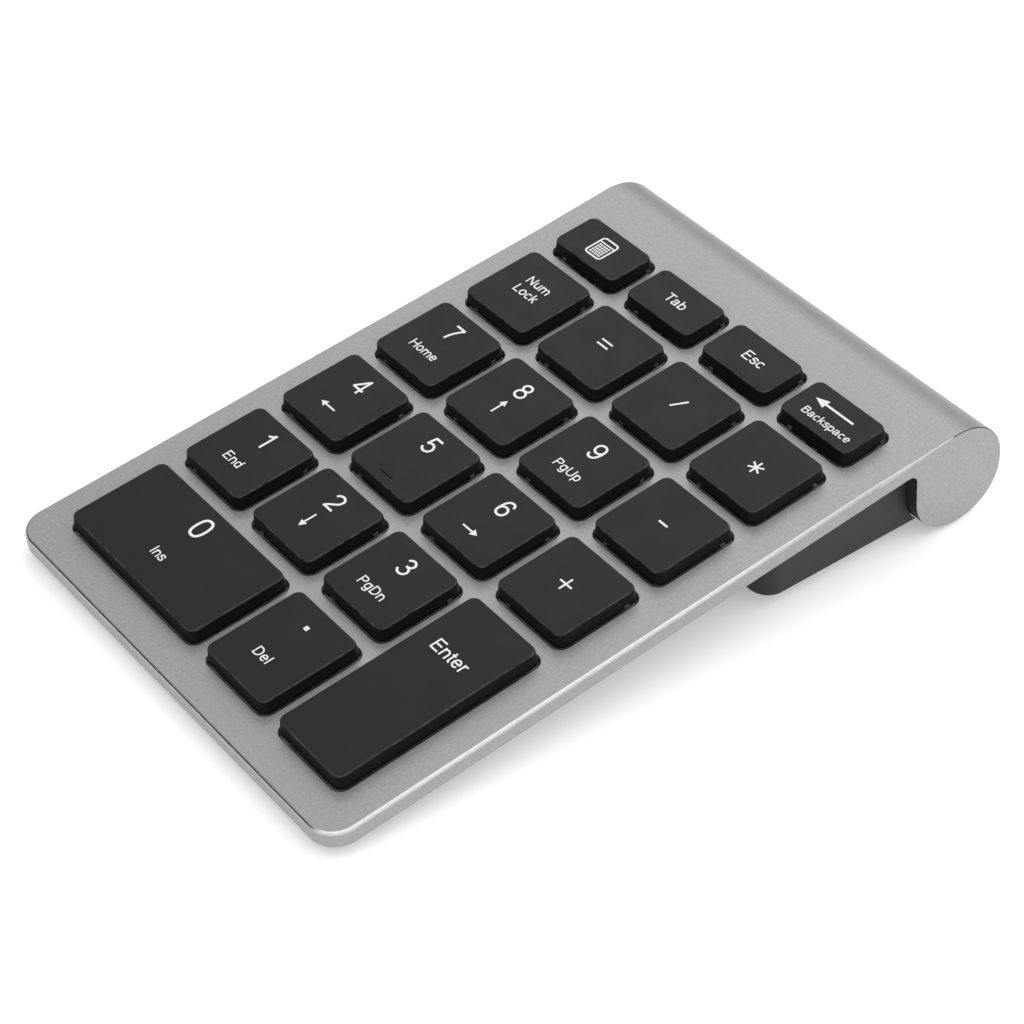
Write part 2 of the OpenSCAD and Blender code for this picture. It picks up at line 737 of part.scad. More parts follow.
top_case();
bottom_case();
rubber_feet();
case_screws();
backplate();
membrane();
rubber_domes();
stabilizer_bar_0();
stabilizer_bar_enter();
circuit_board();
power_switch_body();
power_switch_knob();
battery();
battery_cap();
cap_contact_spring();
battery_contacts();
keycap_0();
keycap_decimal();
keycap_enter();
keycap_1();
keycap_2();
keycap_3();
keycap_4();
keycap_5();
keycap_6();
keycap_plus();
keycap_7();
keycap_8();
keycap_9();
keycap_minus();
keycap_num_lock();
keycap_equals();
keycap_divide();
keycap_multiply();
keycap_calculator();
keycap_tab();
keycap_escape();
keycap_backspace();
scissor_0();
scissor_decimal();
scissor_enter();
scissor_1();
scissor_2();
scissor_3();
scissor_4();
scissor_5();
scissor_6();
scissor_plus();
scissor_7();
scissor_8();
scissor_9();
scissor_minus();
scissor_num_lock();
scissor_equals();
scissor_divide();
scissor_multiply();
scissor_calculator();
scissor_tab();
scissor_escape();
scissor_backspace();
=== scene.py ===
"""A battery powered numeric keypad: a tilted silver key panel with black keys, a battery tube
along its rear edge and a dark bottom shell, on a white floor.

World space is in metres, +Z up. Most sizes are in the panel frame, in millimetres:
x right, y towards the rear, z out of the keys, with z = 0 on the panel's top face.
"""
import json
import math
from functools import cached_property

import bmesh
import bpy
import numpy as np
from mathutils import Matrix, Vector
from mathutils.geometry import delaunay_2d_cdt


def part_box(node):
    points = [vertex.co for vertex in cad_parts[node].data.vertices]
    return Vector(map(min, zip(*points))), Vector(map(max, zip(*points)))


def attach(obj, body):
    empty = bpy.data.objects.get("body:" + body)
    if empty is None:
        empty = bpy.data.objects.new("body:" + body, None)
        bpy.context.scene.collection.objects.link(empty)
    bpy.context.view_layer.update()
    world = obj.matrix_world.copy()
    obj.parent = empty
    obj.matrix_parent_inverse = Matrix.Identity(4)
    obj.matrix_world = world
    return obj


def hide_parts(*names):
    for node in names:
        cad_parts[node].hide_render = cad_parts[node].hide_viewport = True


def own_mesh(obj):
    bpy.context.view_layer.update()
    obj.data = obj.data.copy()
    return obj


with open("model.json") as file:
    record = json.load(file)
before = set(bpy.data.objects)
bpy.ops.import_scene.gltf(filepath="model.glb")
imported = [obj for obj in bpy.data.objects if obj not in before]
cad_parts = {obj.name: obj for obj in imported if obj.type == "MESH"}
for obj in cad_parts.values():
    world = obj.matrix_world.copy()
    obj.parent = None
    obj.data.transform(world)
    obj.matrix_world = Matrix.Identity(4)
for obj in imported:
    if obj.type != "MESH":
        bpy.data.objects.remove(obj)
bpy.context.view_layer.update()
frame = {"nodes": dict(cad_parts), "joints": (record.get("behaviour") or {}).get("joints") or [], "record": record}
nodes = frame["nodes"]
joints = {joint["name"]: joint for joint in frame["joints"]}
scene = bpy.context.scene
MM = 0.001

# ------------------------------------------------------------------ the panel frame
CAP_PIVOT = (-43.0, 58.8, -10.4)  # the battery cap's joint, which ties the panel to the world

press_axis = joints["press_0"]["axis"]
TILT = math.atan2(press_axis[1], -press_axis[2])
TURN = Matrix.Rotation(TILT, 4, "X")
pivot = Vector(joints["battery_cap_turn"]["pos_m"])
PANEL = (Matrix.Translation(pivot - TURN @ (Vector(CAP_PIVOT) * MM))
         @ TURN @ Matrix.Scale(MM, 4))
UNPANEL = PANEL.inverted()
NORMAL = (TURN @ Vector((0, 0, 1))).normalized()


def panel_box(node):
    """Low and high corners of a node in the panel frame."""
    points = np.array([v.co for v in nodes[node].data.vertices], float).reshape(-1, 3)
    matrix = np.array(UNPANEL, float)
    points = points @ matrix[:3, :3].T + matrix[:3, 3]
    return points.min(0), points.max(0)


# ------------------------------------------------------------------ shader nodes
class Look:
    """Short forms for building the nodes of a material or a world."""

    def __init__(self, tree):
        self.tree = tree

    @cached_property
    def coords(self):
        return self.add("TexCoord").outputs

    def feed(self, socket, value):
        """Links a socket to the input, or sets the input's value."""
        if isinstance(value, bpy.types.NodeSocket):
            self.tree.links.new(value, socket)
        else:
            socket.default_value = (*value, 1) if socket.type == "RGBA" else value

    def add(self, kind, inputs=None, **settings):
        node = self.tree.nodes.new("ShaderNode" + kind)
        for name, value in settings.items():
            setattr(node, name, value)
        for key, value in (inputs or {}).items():
            self.feed(node.inputs[key], value)
        return node

    def mapped(self, **inputs):
        return self.add("Mapping", {**inputs, "Vector": self.coords["Object"]}).outputs[0]

    def noise(self, size_mm, detail=2.0, rough=0.6, vector=None):
        return self.add("TexNoise", {
            "Scale": 1000.0 / size_mm, "Detail": detail, "Roughness": rough,
            "Vector": vector or self.coords["Object"]}).outputs["Fac"]

    def tones(self, value, dark, light, middle=None):
        """Colours over the part of a noise's range that it mostly fills."""
        node = self.add("ValToRGB", {0: value})
        stops = node.color_ramp.elements
        stops[0].position, stops[0].color = 0.3, (*dark, 1)
        stops[1].position, stops[1].color = 0.7, (*light, 1)
        if middle:
            stops.new(0.5).color = (*middle, 1)
        return node.outputs[0]

    def remap(self, value, to=(0.0, 1.0), over=(0.3, 0.7), shape="LINEAR"):
        """Carries the range `over` to the range `to`, clamped."""
        return self.add("MapRange", {
            "From Min": over[0], "From Max": over[1], "To Min": to[0], "To Max": to[1],
            "Value": value}, interpolation_type=shape).outputs[0]

    def maths(self, operation, a, b):
        return self.add("Math", {0: a, 1: b}, operation=operation).outputs[0]

    def times(self, a, b):
        return self.maths("MULTIPLY", a, b)

    def plus(self, a, b):
        return self.maths("ADD", a, b)

    def without(self, value):
        """One minus the value."""
        return self.maths("SUBTRACT", 1.0, value)

    def weighted(self, a, a_share, b, b_share):
        return self.plus(self.times(a, a_share), self.times(b, b_share))

    def dot(self, vector, axis):
        return self.add("VectorMath", {0: vector, 1: tuple(axis)},
                        operation="DOT_PRODUCT").outputs["Value"]

    def panel_distance(self, position, axis):
        """Distance along a panel axis, and its value at the panel's origin, in metres."""
        axis = TURN.to_3x3() @ Vector(axis)
        return self.dot(position, axis), axis.dot(PANEL.translation)

    def mix(self, share, a, b):
        return self.add("Mix", {0: share, 6: a, 7: b}, data_type="RGBA").outputs[2]

    def worn_or_lit_edges(self, colour, worn_or_lit_colour, amount, patch_mm, over=(0.4, 0.7), least=0.0):
        """Patchy wear and painted highlight on the rounded edges, where the edge attribute is 1."""
        edges = self.add("Attribute", attribute_name="wear_or_highlight").outputs["Fac"]
        patches = self.remap(self.noise(patch_mm, detail=3), to=(least, 1.0), over=over)
        return self.mix(self.times(self.times(edges, patches), amount), colour, worn_or_lit_colour)

    def bump(self, height, strength, depth_mm):
        return self.add("Bump", {"Strength": strength, "Distance": depth_mm * MM,
                                 "Height": height}).outputs[0]

    def surface(self, **inputs):
        """Sets the inputs of the Principled node; underscores stand for spaces."""
        for name, value in inputs.items():
            self.feed(self.bsdf.inputs[name.replace("_", " ")], value)


MATERIALS = {}


def new_material(name):
    material = MATERIALS[name] = bpy.data.materials.new(name)
    material.use_nodes = True
    look = Look(material.node_tree)
    look.tree.nodes.clear()
    output = look.add("OutputMaterial")
    look.bsdf = look.add("BsdfPrincipled")
    look.feed(output.inputs[0], look.bsdf.outputs[0])
    return look


# ------------------------------------------------------------------ materials
def silver_paint():
    look = new_material("silver_paint")
    flake = look.noise(size_mm=0.16)
    fine = look.noise(size_mm=0.45, detail=3)
    broad = look.noise(size_mm=26, rough=0.5)
    colour = look.tones(look.weighted(flake, 0.55, fine, 0.45), dark=(0.265, 0.265, 0.274),
                        middle=(0.340, 0.340, 0.348), light=(0.424, 0.423, 0.431))
    colour = look.mix(look.remap(broad, to=(0.0, 0.22), over=(0.35, 0.7)),
                      colour, (0.372, 0.372, 0.381))
    # painted light: the key field is painted a little lighter, lifting the shade that the caps cast on the panel
    # between the keys
    key_field = (((1, 0, 0), -38.0, 38.0), ((0, 1, 0), -58.0, 51.0))  # axis, low, high
    fade = 3.0
    painted_lift = None
    position = look.add("NewGeometry").outputs["Position"]
    for axis, low, high in key_field:
        distance, origin = look.panel_distance(position, axis)
        for edge, inside in ((low, low + fade), (high, high - fade)):
            side = look.remap(distance, over=(origin + edge * MM, origin + inside * MM))
            painted_lift = side if painted_lift is None else look.times(painted_lift, side)
    colour = look.mix(look.times(painted_lift, 0.16), colour, (0.56, 0.56, 0.565))
    # lighter rounded edges: patchy wear, and a painted highlight along the softened edges
    colour = look.worn_or_lit_edges(colour, worn_or_lit_colour=(0.56, 0.56, 0.57), amount=0.35, patch_mm=3.0,
                       over=(0.42, 0.68))
    look.surface(
        Base_Color=colour, Metallic=0.62, Specular_IOR_Level=0.5,
        Roughness=look.plus(look.remap(flake, to=(0.40, 0.54)),
                            look.remap(broad, to=(-0.02, 0.03))),
        Normal=look.bump(look.weighted(flake, 0.6, fine, 0.7), strength=0.35, depth_mm=0.012))


def cut_edge():
    look = new_material("silver_cut_edge")
    lines = look.noise(size_mm=0.12, vector=look.mapped(Scale=(0.06, 0.06, 1.0)))
    fine = look.noise(size_mm=0.9, rough=0.5)
    colour = look.tones(fine, dark=(0.59, 0.59, 0.60), light=(0.66, 0.66, 0.672))
    # painted shade: the cut is painted darker towards the tube, where its bright reflection fades
    position = look.add("NewGeometry").outputs["Position"]
    distance, origin = look.panel_distance(position, (0, 1, 0))
    painted_fade = look.remap(distance, to=(1.0, 0.80), over=(origin + 10 * MM, origin + 40 * MM))
    look.surface(Base_Color=look.mix(painted_fade, (0.0, 0.0, 0.0), colour), Metallic=1.0,
                 Roughness=look.remap(lines, to=(0.20, 0.28)),
                 Normal=look.bump(lines, strength=0.10, depth_mm=0.002))


def key_plastic():
    look = new_material("black_key")
    grain = look.noise(size_mm=0.13, rough=0.55)
    patch = look.noise(size_mm=5.0, detail=3, rough=0.55)
    facing = look.dot(look.add("NewGeometry").outputs["True Normal"], NORMAL)
    top = look.remap(facing, over=(0.55, 0.97))
    colour = look.tones(grain, dark=(0.0022, 0.0022, 0.0023), light=(0.0046, 0.0046, 0.0048))
    # painted light: the top faces are painted a little lighter in patches, as if lit from above
    painted_top_light = look.times(top, look.remap(patch, to=(0.3, 0.6), over=(0.35, 0.65)))
    colour = look.mix(painted_top_light, colour, (0.0048, 0.0048, 0.0051))
    # painted highlight: the rounded rim of the cap top is painted much lighter, as the thin highlight line along
    # its edges
    colour = look.worn_or_lit_edges(colour, worn_or_lit_colour=(0.060, 0.060, 0.062), amount=0.85, patch_mm=1.4,
                       over=(0.35, 0.7), least=0.1)
    look.surface(
        Base_Color=colour,
        Roughness=look.plus(look.remap(grain, to=(0.40, 0.52)),
                            look.remap(patch, to=(-0.03, 0.03), over=(0.35, 0.65))),
        Specular_IOR_Level=look.remap(top, to=(0.15, 0.285), over=(0.0, 1.0)),
        Normal=look.bump(grain, strength=0.30, depth_mm=0.010))


def legend_paint():
    look = new_material("legend_white")
    speck = look.noise(size_mm=0.12)
    look.surface(Base_Color=look.tones(speck, dark=(0.70, 0.70, 0.69), light=(0.90, 0.90, 0.89)),
                 Roughness=look.remap(speck, to=(0.45, 0.6)), Specular_IOR_Level=0.3,
                 Normal=look.bump(speck, strength=0.2, depth_mm=0.004))


def dark_case():
    look = new_material("dark_case")
    grain = look.noise(size_mm=0.2, detail=2.5)
    broad = look.noise(size_mm=18, rough=0.5)
    colour = look.tones(grain, dark=(0.012, 0.012, 0.013), light=(0.022, 0.022, 0.0235))
    colour = look.mix(look.remap(broad, to=(0.0, 0.35), over=(0.35, 0.7)),
                      colour, (0.0195, 0.0193, 0.0208))
    colour = look.worn_or_lit_edges(colour, worn_or_lit_colour=(0.14, 0.14, 0.145), amount=0.5, patch_mm=2.2)
    look.surface(Base_Color=colour, Roughness=look.remap(grain, to=(0.42, 0.58)),
                 Specular_IOR_Level=0.30,
                 Normal=look.bump(grain, strength=0.35, depth_mm=0.014))


def plastic(name, dark, light, grain_mm, rough, level, bump, worn_or_lit_colour=None):
    """Grained plastic; the last argument is the colour of its rounded edges, wear and painted highlight, if given.
    """
    look = new_material(name)
    grain = look.noise(grain_mm, detail=2.5)
    broad = look.noise(grain_mm * 40, rough=0.5)
    colour = look.tones(look.weighted(grain, 0.6, broad, 0.4), dark, light)
    if worn_or_lit_colour is not None:
        colour = look.worn_or_lit_edges(colour, worn_or_lit_colour, amount=0.6, patch_mm=1.1)
    look.surface(Base_Color=colour, Roughness=look.remap(grain, to=rough),
                 Specular_IOR_Level=level, Normal=look.bump(grain, bump, grain_mm * 0.08))


def metal(name, dark, light, line_mm=0.08, stretch=(0.05, 1, 1), rough=(0.25, 0.42)):
    """Brushed metal; its lines run along the axis with the smallest stretch."""
    look = new_material(name)
    lines = look.noise(line_mm, vector=look.mapped(Scale=stretch))
    broad = look.noise(size_mm=6, detail=3)
    colour = look.tones(look.weighted(lines, 0.5, broad, 0.5), dark, light)
    colour = look.worn_or_lit_edges(colour, worn_or_lit_colour=(0.7, 0.7, 0.7), amount=0.6, patch_mm=0.8)
    look.surface(Base_Color=colour, Metallic=1.0, Roughness=look.remap(lines, to=rough),
                 Normal=look.bump(lines, strength=0.2, depth_mm=0.004))


def cell_wrap():
    """Foil wrapped dry cell: a plain dark body and a brass coloured plus end."""
    look = new_material("cell")
    along = look.add("SeparateXYZ", {0: look.coords["Object"]}).outputs[0]
    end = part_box("battery")[1].x
    band = look.remap(along, over=(end - 0.0150, end - 0.0148))
    tip = look.remap(along, over=(end - 0.0022, end - 0.0021))
    foil = look.noise(size_mm=0.5, detail=3)
    body = look.tones(foil, dark=(0.020, 0.022, 0.026), light=(0.035, 0.037, 0.042))
    brass = look.tones(foil, dark=(0.55, 0.38, 0.14), light=(0.68, 0.49, 0.20))
    tin = look.tones(foil, dark=(0.55, 0.55, 0.55), light=(0.70, 0.70, 0.70))
    look.surface(Base_Color=look.mix(tip, look.mix(band, body, brass), tin),
                 Metallic=look.remap(band, to=(0.35, 0.9), over=(0.0, 1.0)),
                 Roughness=look.remap(foil, to=(0.24, 0.36)),
                 Normal=look.bump(foil, strength=0.12, depth_mm=0.01))


def board_mask():
    """Green solder mask with lighter traces along cell borders."""
    look = new_material("board")
    cell_mm = 3.2
    border = look.add("TexVoronoi", {"Scale": 1000.0 / cell_mm, "Vector": look.coords["Object"]},
                      feature="DISTANCE_TO_EDGE").outputs["Distance"]
    trace = look.remap(border, to=(1.0, 0.0), over=(0.02, 0.05))
    grain = look.noise(size_mm=0.3, detail=3)
    mask = look.tones(grain, dark=(0.008, 0.060, 0.026), light=(0.014, 0.090, 0.040))
    look.surface(Base_Color=look.mix(look.times(trace, 0.7), mask, (0.030, 0.160, 0.070)),
                 Roughness=look.remap(grain, to=(0.28, 0.42)), Coat_Weight=0.2,
                 Normal=look.bump(look.plus(grain, trace), strength=0.2, depth_mm=0.02))


def film():
    """Cloudy film with printed tracks in bands."""
    look = new_material("membrane_film")
    pitch_mm = 3.8
    bands_per_scale = 3.1  # roughly what the wave texture draws
    wave = look.add("TexWave", {"Scale": 1000 / pitch_mm / bands_per_scale,
                                "Vector": look.mapped(Rotation=(-TILT, 0, 0))})
    track = look.remap(wave.outputs["Fac"], over=(0.78, 0.86))
    haze = look.noise(size_mm=2.5, detail=3)
    base = look.tones(haze, dark=(0.36, 0.38, 0.35), light=(0.46, 0.48, 0.45))
    look.surface(Base_Color=look.mix(track, base, (0.33, 0.34, 0.35)),
                 Roughness=look.remap(haze, to=(0.25, 0.4)),
                 Normal=look.bump(track, strength=0.2, depth_mm=0.02))


silver_paint()
dark_case()
plastic("feet", dark=(0.010, 0.010, 0.010), light=(0.022, 0.022, 0.022), grain_mm=0.25,
        rough=(0.62, 0.8), level=0.3, bump=0.5, worn_or_lit_colour=(0.05, 0.05, 0.05))
metal("screw_steel", dark=(0.34, 0.34, 0.36), light=(0.52, 0.52, 0.55))
metal("plate_steel", dark=(0.36, 0.37, 0.38), light=(0.50, 0.51, 0.53), line_mm=0.12,
      stretch=(0.04, 1, 1))
film()
plastic("dome_rubber", dark=(0.52, 0.52, 0.50), light=(0.68, 0.68, 0.65), grain_mm=0.3,
        rough=(0.4, 0.55), level=0.4, bump=0.2)
metal("spring_wire", dark=(0.42, 0.42, 0.44), light=(0.60, 0.60, 0.62), line_mm=0.06,
      rough=(0.2, 0.34))
board_mask()
metal("switch_housing", dark=(0.45, 0.45, 0.46), light=(0.62, 0.62, 0.63))
plastic("switch_knob", dark=(0.012, 0.012, 0.012), light=(0.024, 0.024, 0.025), grain_mm=0.2,
        rough=(0.4, 0.55), level=0.45, bump=0.3, worn_or_lit_colour=(0.08, 0.08, 0.08))
cell_wrap()
metal("contact_metal", dark=(0.48, 0.44, 0.33), light=(0.66, 0.62, 0.50), line_mm=0.07,
      stretch=(1, 0.06, 1), rough=(0.2, 0.34))
key_plastic()
plastic("link_plastic", dark=(0.10, 0.10, 0.105), light=(0.17, 0.17, 0.178), grain_mm=0.25,
        rough=(0.35, 0.5), level=0.5, bump=0.25, worn_or_lit_colour=(0.26, 0.26, 0.27))
cut_edge()
legend_paint()
plastic("pip_grey", dark=(0.050, 0.050, 0.052), light=(0.095, 0.095, 0.098), grain_mm=0.15,
        rough=(0.35, 0.5), level=0.5, bump=0.2)
# real gate marks on two keys, and also the painted shade line on the tube's end edges
plastic("gate_mark_and_dark_edge", dark=(0.003, 0.003, 0.003), light=(0.006, 0.006, 0.006), grain_mm=0.15,
        rough=(0.5, 0.65), level=0.2, bump=0.3)

# ------------------------------------------------------------------ mesh helpers
BODY_OF = {node: body for body, members in frame["record"]["behaviour"]["bodies"].items()
           for node in members}
SLOT_OF = {name: ob.data.materials[0].name for name, ob in nodes.items() if ob.data.materials}

for name, slot in SLOT_OF.items():  # nodes that are carried over get their material too
    material_slot = nodes[name].material_slots[0]
    material_slot.link = "OBJECT"
    material_slot.material = MATERIALS[slot]


def finish_mesh(bm, name, body, source, materials, angle=32, weighted=True):
    """Makes the object that replaces the node `source`; materials[0] names its slot."""
    mesh = bpy.data.meshes.new(name)
    bmesh.ops.recalc_face_normals(bm, faces=bm.faces)
    bm.to_mesh(mesh)
    bm.free()
    for material in materials:
        mesh.materials.append(MATERIALS[material])
    mesh.shade_smooth()
    mesh.set_sharp_from_angle(angle=math.radians(angle))
    ob = bpy.data.objects.new(name, mesh)
    scene.collection.objects.link(ob)
    if weighted:
        modifier = ob.modifiers.new("flat faces", "WEIGHTED_NORMAL")
        modifier.mode = "FACE_AREA"
        modifier.weight = 50
        modifier.keep_sharp = True
    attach(ob, body)
    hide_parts(source)
    return ob


def copy_of(node):
    """A node's mesh, welded, with its flat faces back in one piece."""
    bm = bmesh.new()
    bm.from_mesh(nodes[node].data)
    for layer in list(bm.loops.layers.float_vector):
        bm.loops.layers.float_vector.remove(layer)
    bmesh.ops.remove_doubles(bm, verts=bm.verts, dist=3e-6)
    bmesh.ops.dissolve_degenerate(bm, dist=2e-6, edges=bm.edges)
    bmesh.ops.dissolve_limit(bm, angle_limit=math.radians(0.6), use_dissolve_boundaries=False,
                             verts=bm.verts, edges=bm.edges, delimit=set())
    for face in bm.faces:
        face.material_index = 0
        face.smooth = True
    return bm


def soften(bm, width_mm, segments, angle=32, clamp=True, keep=None):
    """Rounds the edges sharper than `angle` that `keep` accepts, and marks them for edge wear and painted
    highlight.
    """
    bm.normal_update()
    picked = [edge for edge in bm.edges
              if len(edge.link_faces) == 2 and edge.calc_length() >= 1e-6
              and edge.calc_face_angle(0.0) > math.radians(angle)
              and (keep is None or keep(edge))]
    wear_or_highlight = bm.loops.layers.float.get("wear_or_highlight") or bm.loops.layers.float.new("wear_or_highlight")
    if picked:
        made = bmesh.ops.bevel(bm, geom=picked, offset=width_mm * MM, offset_type="OFFSET",
                               segments=segments, profile=0.5, affect="EDGES",
                               clamp_overlap=clamp, material=-1, loop_slide=True)
        for face in made["faces"]:
            for corner in face.loops:
                corner[wear_or_highlight] = 1.0


# ------------------------------------------------------------------ alphabet
# A plain single line alphabet. Strokes are in units of the capital height, y up.
PEN = 0.125
LOW, TOP = PEN / 2, 1 - PEN / 2  # centre lines of strokes on the baseline and cap line
X_HEIGHT = 0.74
X_TOP = X_HEIGHT - PEN / 2
MID = X_HEIGHT / 2


def arc(x, y, reach_x, reach_y, start, end, steps, power=2.0):
    """Part of a superellipse, angles in degrees."""
    points = []
    for i in range(steps + 1):
        angle = math.radians(start + (end - start) * i / steps)
        cosine, sine = math.cos(angle), math.sin(angle)
        exponent = 2.0 / power
        points.append((x + reach_x * math.copysign(abs(cosine) ** exponent, cosine),
                       y + reach_y * math.copysign(abs(sine) ** exponent, sine)))
    return points


def curve(points, steps=4):
    """A smooth line through the points."""
    padded = [points[0]] + list(points) + [points[-1]]
    out = []
    for i in range(1, len(padded) - 2):
        before, start, end, after = (np.array(p, float) for p in padded[i - 1:i + 3])
        for k in range(steps):
            u = k / steps
            out.append(tuple(0.5 * (2 * start + (end - before) * u
                                    + (2 * before - 5 * start + 4 * end - after) * u * u
                                    + (3 * start - before - 3 * end + after) * u ** 3)))
    out.append(points[-1])
    return out


def loop(x, y, reach_x, reach_y, power):
    return arc(x, y, reach_x, reach_y, 0, 360, 30, power)


def bowl(x, reach_x=0.255, power=2.2):
    """The round of a small letter."""
    return loop(x, MID, reach_x, MID - LOW, power)


def stem(x, bottom=0, top=1):
    return [(x, bottom), (x, top)]


def bar(left, right, y):
    return [(left, y), (right, y)]


GLYPHS = {  # character: (advance, strokes)
    "0": (0.78, [loop(0.39, 0.5, 0.265, TOP - 0.5, 2.5)]),
    "1": (0.66, [stem(0.42), curve([(0.40, 0.97), (0.34, 0.86), (0.24, 0.78), (0.13, 0.74)])]),
    "2": (0.78, [arc(0.385, 0.715, 0.255, TOP - 0.715, 172, -12, 16)[:-1]
                 + curve([(0.63, 0.66), (0.58, 0.52), (0.44, 0.38), (0.24, 0.21), (0.15, 0.09),
                          (0.13, LOW)]),
                 bar(0.08, 0.68, LOW)]),
    "3": (0.78, [arc(0.375, 0.735, 0.225, TOP - 0.735, 165, -90, 18) + [(0.31, 0.532)],
                 [(0.31, 0.532)] + arc(0.375, 0.297, 0.265, 0.235, 90, -165, 20)]),
    "4": (0.78, [stem(0.53), [(0.52, 0.96), (0.09, 0.30)], bar(0.05, 0.72, 0.285)]),
    "5": (0.78, [[(0.66, TOP), (0.235, TOP), (0.155, 0.47)],
                 arc(0.385, 0.325, 0.265, 0.265, 148, -160, 24)]),
    "6": (0.78, [curve([(0.635, 0.75), (0.585, 0.88), (0.48, TOP), (0.39, TOP), (0.27, 0.89),
                        (0.17, 0.74), (0.125, 0.52), (0.128, 0.34)], 5),
                 loop(0.385, 0.325, 0.257, 0.263, 2.1)]),
    "7": (0.76, [bar(0.08, 0.66, TOP),
                 curve([(0.655, TOP - 0.01), (0.52, 0.76), (0.40, 0.52), (0.31, 0.26),
                        (0.275, 0)], 5)]),
    "8": (0.78, [loop(0.39, 0.745, 0.222, 0.192, 2.1), loop(0.39, 0.297, 0.262, 0.236, 2.1)]),
    "9": (0.78, [curve([(0.145, 0.25), (0.195, 0.12), (0.30, LOW), (0.39, LOW), (0.51, 0.11),
                        (0.61, 0.26), (0.655, 0.48), (0.652, 0.66)], 5),
                 loop(0.395, 0.675, 0.257, 0.263, 2.1)]),
    "B": (0.93, [stem(0.16),
                 [(0.16, TOP)] + arc(0.53, 0.745, 0.19, TOP - 0.745, 90, -90, 12)
                 + [(0.16, 0.552)],
                 [(0.16, 0.552)] + arc(0.56, 0.307, 0.225, 0.245, 90, -90, 14)
                 + [(0.16, LOW)]]),
    "D": (1.0, [stem(0.16), [(0.16, TOP)] + arc(0.42, 0.5, 0.42, TOP - 0.5, 90, -90, 20, 2.2)
                + [(0.16, LOW)]]),
    "E": (0.92, [stem(0.16), bar(0.16, 0.81, TOP), bar(0.16, 0.77, 0.525),
                 bar(0.16, 0.84, LOW)]),
    "H": (1.0, [stem(0.16), stem(0.85), bar(0.16, 0.85, 0.53)]),
    "I": (0.40, [stem(0.20)]),
    "L": (0.76, [[(0.15, 1), (0.15, LOW), (0.72, LOW)]]),
    "N": (1.0, [stem(0.16), stem(0.84), [(0.165, 0.95), (0.835, 0.05)]]),
    "P": (0.90, [stem(0.16), [(0.16, TOP)] + arc(0.54, 0.715, 0.225, TOP - 0.715, 90, -90, 14)
                 + [(0.16, 0.493)]]),
    "T": (0.84, [bar(0.03, 0.81, TOP), [(0.42, TOP), (0.42, 0)]]),
    "U": (1.0, [[(0.16, 1)] + arc(0.5, 0.37, 0.34, 0.37 - LOW, 180, 360, 18, 2.2)
                + [(0.84, 1)]]),
    "a": (0.76, [curve([(0.115, 0.53), (0.17, 0.63), (0.27, X_TOP), (0.39, X_TOP),
                        (0.51, 0.655), (0.575, 0.56), (0.58, 0.44)], 5)
                 + [(0.58, 0.18)] + curve([(0.58, 0.17), (0.60, 0.09), (0.66, 0.055)], 3),
                 curve([(0.58, 0.425), (0.44, 0.40), (0.27, 0.375), (0.14, 0.31),
                        (0.105, 0.20), (0.15, 0.09), (0.27, LOW - 0.005), (0.40, 0.085),
                        (0.52, 0.16), (0.58, 0.28)], 5)]),
    "b": (0.78, [stem(0.14), bowl(0.40)]),
    "c": (0.70, [arc(0.37, MID, 0.26, MID - LOW, 42, 318, 22, 2.1)]),
    "d": (0.78, [stem(0.63), bowl(0.37)]),
    "e": (0.77, [bar(0.12, 0.65, 0.385), arc(0.385, MID, 0.265, MID - LOW, 0, 322, 28, 2.1)]),
    "g": (0.78, [bowl(0.37), [(0.63, X_HEIGHT), (0.63, 0.02)]
                 + arc(0.385, -0.03, 0.245, 0.185, 0, -155, 12)]),
    "k": (0.70, [stem(0.14), [(0.14, 0.27), (0.58, 0.72)], [(0.31, 0.42), (0.62, 0.02)]]),
    "l": (0.32, [stem(0.16)]),
    "m": (1.16, [stem(0.14, top=X_HEIGHT),
                 [(0.14, 0.40)] + arc(0.365, 0.45, 0.225, X_TOP - 0.45, 180, 0, 12)
                 + [(0.59, 0)],
                 [(0.59, 0.40)] + arc(0.81, 0.45, 0.22, X_TOP - 0.45, 180, 0, 12)
                 + [(1.03, 0)]]),
    "n": (0.77, [stem(0.14, top=X_HEIGHT),
                 [(0.14, 0.40)] + arc(0.385, 0.44, 0.245, X_TOP - 0.44, 180, 0, 14)
                 + [(0.63, 0)]]),
    "o": (0.77, [bowl(0.385, 0.268, 2.15)]),
    "p": (0.78, [stem(0.14, -0.27, X_HEIGHT), bowl(0.40)]),
    "r": (0.48, [stem(0.14, top=X_HEIGHT),
                 curve([(0.14, 0.42), (0.18, 0.58), (0.28, 0.67), (0.45, 0.665)])]),
    "s": (0.69, [curve([(0.60, 0.53), (0.54, 0.63), (0.43, X_TOP), (0.31, X_TOP),
                        (0.19, 0.635), (0.135, 0.555), (0.17, 0.46), (0.33, 0.40),
                        (0.49, 0.355), (0.58, 0.275), (0.585, 0.17), (0.51, 0.09),
                        (0.37, LOW), (0.23, 0.075), (0.13, 0.145), (0.085, 0.24)])]),
    "t": (0.40, [curve([(0.19, 0.93), (0.19, 0.60), (0.19, 0.22), (0.22, 0.10),
                        (0.36, 0.055)]),
                 bar(0.02, 0.36, X_HEIGHT - 0.06)]),
    "u": (0.77, [[(0.63, X_HEIGHT), (0.63, 0)],
                 [(0.63, 0.33)] + arc(0.385, 0.30, 0.245, 0.30 - LOW, 0, -180, 14)
                 + [(0.14, X_HEIGHT)]]),
}


